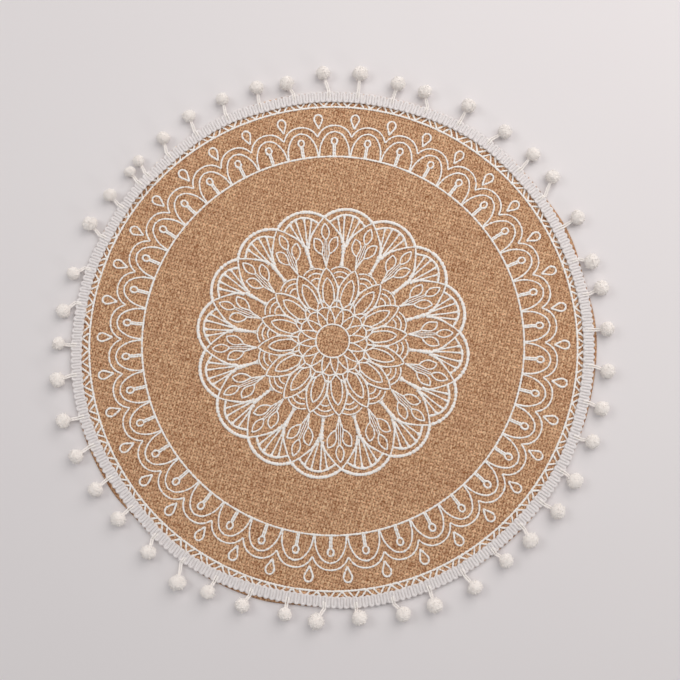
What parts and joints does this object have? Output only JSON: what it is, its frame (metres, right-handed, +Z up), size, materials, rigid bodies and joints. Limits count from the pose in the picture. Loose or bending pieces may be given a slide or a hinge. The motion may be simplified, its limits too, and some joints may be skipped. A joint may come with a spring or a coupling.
{
  "type": "round fabric placemat",
  "caption": "Round jute placemat with a printed white line ornament, a white gimp braid round the rim and small pompoms on doubled threads.",
  "frame": {"origin": "middle of the cloth's underside, on the surface that the mat lies on", "axes": "+Z up out of the printed face; -Y towards the near side of the mat as seen in the picture, +X to its right"},
  "size_m": [0.4056, 0.4087, 0.0111],
  "materials": {
    "jute": "matt, plain weave, tan, with a white line print",
    "gimp": "matt white corded braid",
    "yarn": "soft off-white cut yarn"
  },
  "bodies": {
    "root": {"cloth": "jute", "braid": "gimp", "pompom_01": "yarn", "pompom_02": "yarn", "pompom_03": "yarn", "pompom_04": "yarn", "pompom_05": "yarn", "pompom_06": "yarn", "pompom_07": "yarn", "pompom_08": "yarn", "pompom_09": "yarn", "pompom_10": "yarn", "pompom_11": "yarn", "pompom_12": "yarn", "pompom_13": "yarn", "pompom_14": "yarn", "pompom_15": "yarn", "pompom_16": "yarn", "pompom_17": "yarn", "pompom_18": "yarn", "pompom_19": "yarn", "pompom_20": "yarn", "pompom_21": "yarn", "pompom_22": "yarn", "pompom_23": "yarn", "pompom_24": "yarn", "pompom_25": "yarn", "pompom_26": "yarn", "pompom_27": "yarn", "pompom_28": "yarn", "pompom_29": "yarn", "pompom_30": "yarn", "pompom_31": "yarn", "pompom_32": "yarn", "pompom_33": "yarn", "pompom_34": "yarn", "pompom_35": "yarn", "pompom_36": "yarn", "pompom_37": "yarn", "pompom_38": "yarn", "pompom_39": "yarn", "pompom_40": "yarn", "pompom_41": "yarn", "pompom_42": "yarn", "pompom_43": "yarn", "pompom_44": "yarn", "pompom_45": "yarn", "pompom_46": "yarn"}
  },
  "joints": []
}
